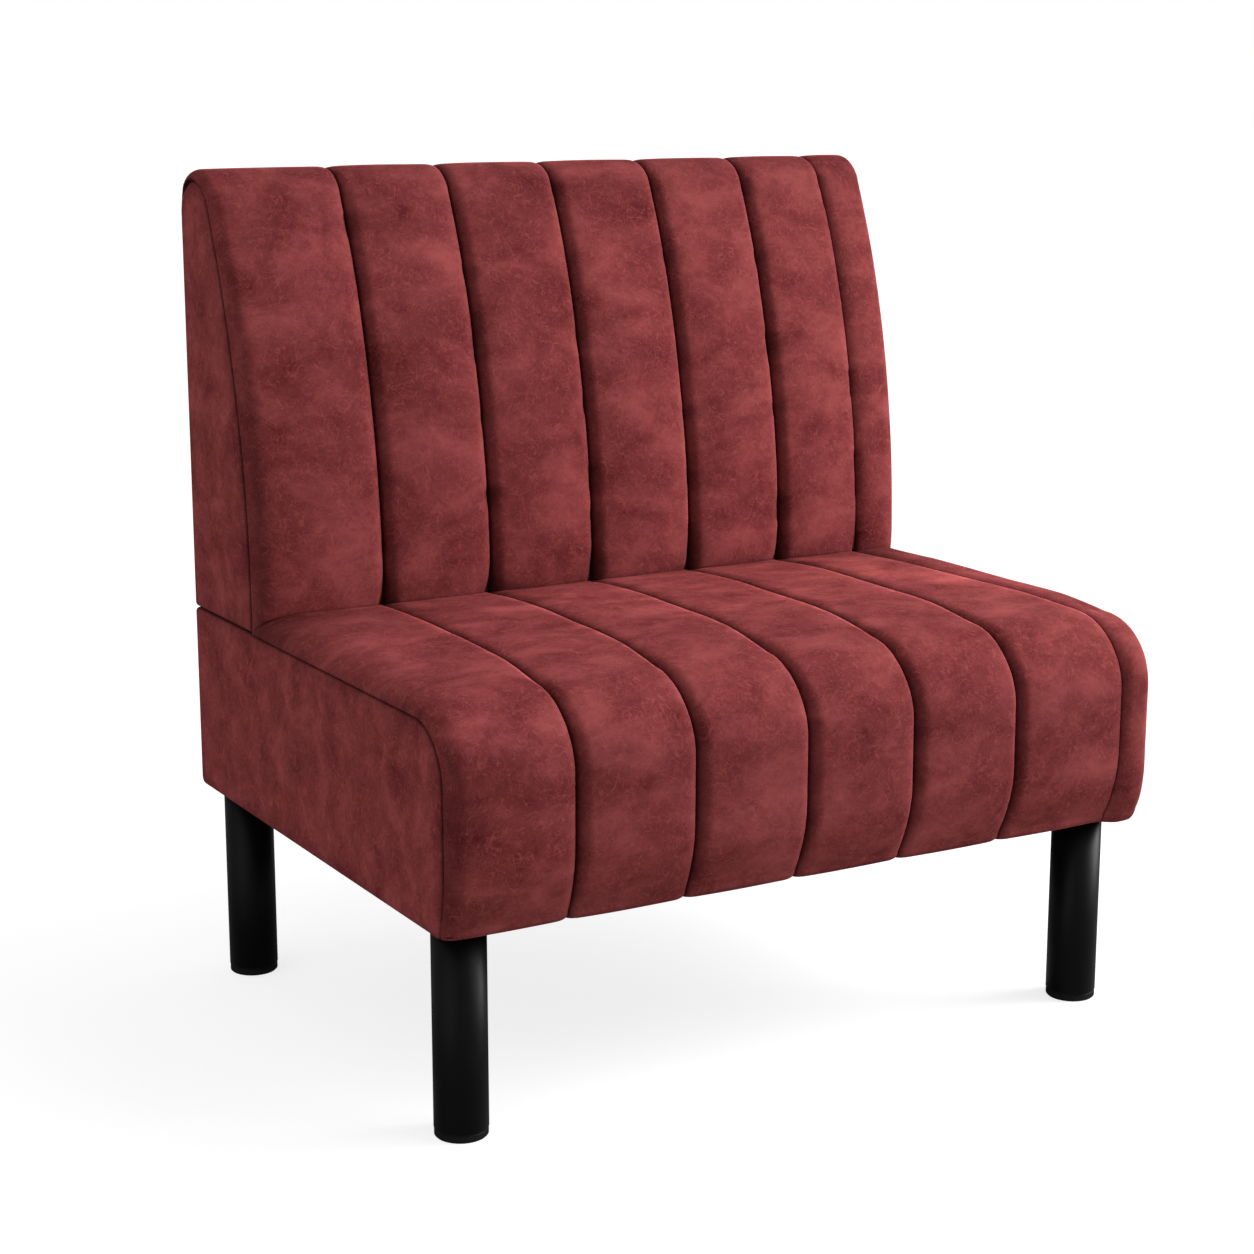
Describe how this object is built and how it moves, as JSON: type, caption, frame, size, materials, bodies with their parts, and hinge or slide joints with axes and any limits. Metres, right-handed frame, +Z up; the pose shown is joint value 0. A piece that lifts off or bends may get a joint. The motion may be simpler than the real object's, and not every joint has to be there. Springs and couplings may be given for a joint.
{
  "type": "upholstered banquette bench unit",
  "caption": "Armless upholstered bench unit with a channelled seat and a leaning channelled back on round black legs with screw-in levelling feet.",
  "frame": {"origin": "on the floor, under the middle of the unit's width and depth", "axes": "+Z up, -Y towards the front where a sitter's legs are, +X to the right as seen from the front"},
  "size_m": [0.92, 0.713, 1.0007],
  "materials": {
    "upholstery": "mottled burgundy suede-like velvet",
    "foam": "cut upholstery foam",
    "lining": "black non-woven lining",
    "beech": "planed beech",
    "plywood": "birch plywood",
    "black_steel": "satin black powder coat",
    "black_plastic": "moulded black nylon",
    "zinc_steel": "bright zinc plating"
  },
  "bodies": {
    "bench": {"seat_front_rail": "beech", "seat_rear_rail": "beech", "seat_left_rail": "beech", "seat_right_rail": "beech", "seat_cross_rails": "beech", "seat_corner_blocks": "beech", "seat_deck": "plywood", "deck_screws": "zinc_steel", "seat_foam": "foam", "seat_cover_flutes": "upholstery", "seat_cover_left": "upholstery", "seat_cover_right": "upholstery", "seat_cover_rear": "upholstery", "seat_dust_cover": "lining", "back_left_stile": "plywood", "back_right_stile": "plywood", "back_mid_ribs": "plywood", "back_top_rail": "plywood", "back_bottom_rail": "plywood", "back_front_panel": "plywood", "back_rear_panel": "plywood", "back_foam": "foam", "back_cover_flutes": "upholstery", "back_cover_left": "upholstery", "back_cover_right": "upholstery", "back_cover_rear": "upholstery", "back_bracket_left": "zinc_steel", "back_bracket_right": "zinc_steel", "bracket_bolts": "zinc_steel", "bracket_nuts": "zinc_steel", "leg_front_left": "black_steel", "leg_front_right": "black_steel", "leg_rear_left": "black_steel", "leg_rear_right": "black_steel", "plate_front_left": "black_steel", "plate_front_right": "black_steel", "plate_rear_left": "black_steel", "plate_rear_right": "black_steel", "leg_screws": "zinc_steel", "plug_front_left": "black_plastic", "plug_front_right": "black_plastic", "plug_rear_left": "black_plastic", "plug_rear_right": "black_plastic", "foot_nuts": "zinc_steel"},
    "foot_stud_front_left": {"stud_front_left": "zinc_steel"},
    "foot_disc_front_left": {"glide_front_left": "black_plastic"},
    "foot_stud_front_right": {"stud_front_right": "zinc_steel"},
    "foot_disc_front_right": {"glide_front_right": "black_plastic"},
    "foot_stud_rear_left": {"stud_rear_left": "zinc_steel"},
    "foot_disc_rear_left": {"glide_rear_left": "black_plastic"},
    "foot_stud_rear_right": {"stud_rear_right": "zinc_steel"},
    "foot_disc_rear_right": {"glide_rear_right": "black_plastic"}
  },
  "joints": [
    {"name": "foot_lift_front_left", "type": "slide", "parent": "bench", "child": "foot_stud_front_left", "axis": [0, 0, -1], "range_m": [0, 0.015]},
    {"name": "foot_turn_front_left", "type": "hinge", "parent": "foot_stud_front_left", "child": "foot_disc_front_left", "pos_m": [-0.419, -0.2825, 0.004], "axis": [0, 0, -1], "range_deg": [0, 3600]},
    {"name": "foot_lift_front_right", "type": "slide", "parent": "bench", "child": "foot_stud_front_right", "axis": [0, 0, -1], "range_m": [0, 0.015]},
    {"name": "foot_turn_front_right", "type": "hinge", "parent": "foot_stud_front_right", "child": "foot_disc_front_right", "pos_m": [0.419, -0.2825, 0.004], "axis": [0, 0, -1], "range_deg": [0, 3600]},
    {"name": "foot_lift_rear_left", "type": "slide", "parent": "bench", "child": "foot_stud_rear_left", "axis": [0, 0, -1], "range_m": [0, 0.015]},
    {"name": "foot_turn_rear_left", "type": "hinge", "parent": "foot_stud_rear_left", "child": "foot_disc_rear_left", "pos_m": [-0.419, 0.3075, 0.004], "axis": [0, 0, -1], "range_deg": [0, 3600]},
    {"name": "foot_lift_rear_right", "type": "slide", "parent": "bench", "child": "foot_stud_rear_right", "axis": [0, 0, -1], "range_m": [0, 0.015]},
    {"name": "foot_turn_rear_right", "type": "hinge", "parent": "foot_stud_rear_right", "child": "foot_disc_rear_right", "pos_m": [0.419, 0.3075, 0.004], "axis": [0, 0, -1], "range_deg": [0, 3600]}
  ],
  "couplings": [
    {"joint": "foot_lift_front_left", "follows": "foot_turn_front_left", "m_per_rad": 0.00023873},
    {"joint": "foot_lift_front_right", "follows": "foot_turn_front_right", "m_per_rad": 0.00023873},
    {"joint": "foot_lift_rear_left", "follows": "foot_turn_rear_left", "m_per_rad": 0.00023873},
    {"joint": "foot_lift_rear_right", "follows": "foot_turn_rear_right", "m_per_rad": 0.00023873}
  ]
}
